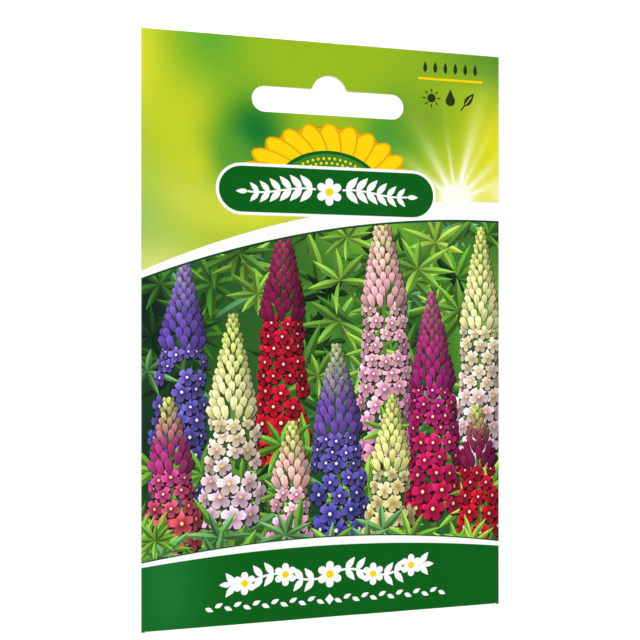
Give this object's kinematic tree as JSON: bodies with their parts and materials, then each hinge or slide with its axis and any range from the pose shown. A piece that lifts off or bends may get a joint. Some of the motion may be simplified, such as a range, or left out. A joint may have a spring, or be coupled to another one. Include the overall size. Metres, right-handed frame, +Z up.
{
  "type": "seed packet",
  "caption": "Flat folded paper seed packet with a euro hanging slot in its header, a glued back seam and bottom flap, and loose seeds in its pouch.",
  "frame": {"origin": "highest point of the euro slot's round bump, where a display peg carries the hanging packet, midway through the header's thickness", "axes": "+Z up along the packet's height, +X along its width to the right as seen from the front, printed front facing -Y"},
  "size_m": [0.08, 0.0047, 0.125],
  "materials": {
    "printed_paper": "coated paper, printed all over on its outside, white inside",
    "seed_coat": "dry seed coat, dull, brown and mottled"
  },
  "bodies": {
    "root": {"envelope": "printed_paper", "seed_01": "seed_coat", "seed_02": "seed_coat", "seed_03": "seed_coat", "seed_04": "seed_coat", "seed_05": "seed_coat", "seed_06": "seed_coat", "seed_07": "seed_coat", "seed_08": "seed_coat", "seed_09": "seed_coat", "seed_10": "seed_coat", "seed_11": "seed_coat", "seed_12": "seed_coat", "seed_13": "seed_coat", "seed_14": "seed_coat", "seed_15": "seed_coat", "seed_16": "seed_coat", "seed_17": "seed_coat", "seed_18": "seed_coat", "seed_19": "seed_coat", "seed_20": "seed_coat", "seed_21": "seed_coat", "seed_22": "seed_coat", "seed_23": "seed_coat", "seed_24": "seed_coat", "seed_25": "seed_coat", "seed_26": "seed_coat", "seed_27": "seed_coat", "seed_28": "seed_coat", "seed_29": "seed_coat", "seed_30": "seed_coat", "seed_31": "seed_coat", "seed_32": "seed_coat", "seed_33": "seed_coat", "seed_34": "seed_coat", "seed_35": "seed_coat", "seed_36": "seed_coat"}
  },
  "joints": []
}
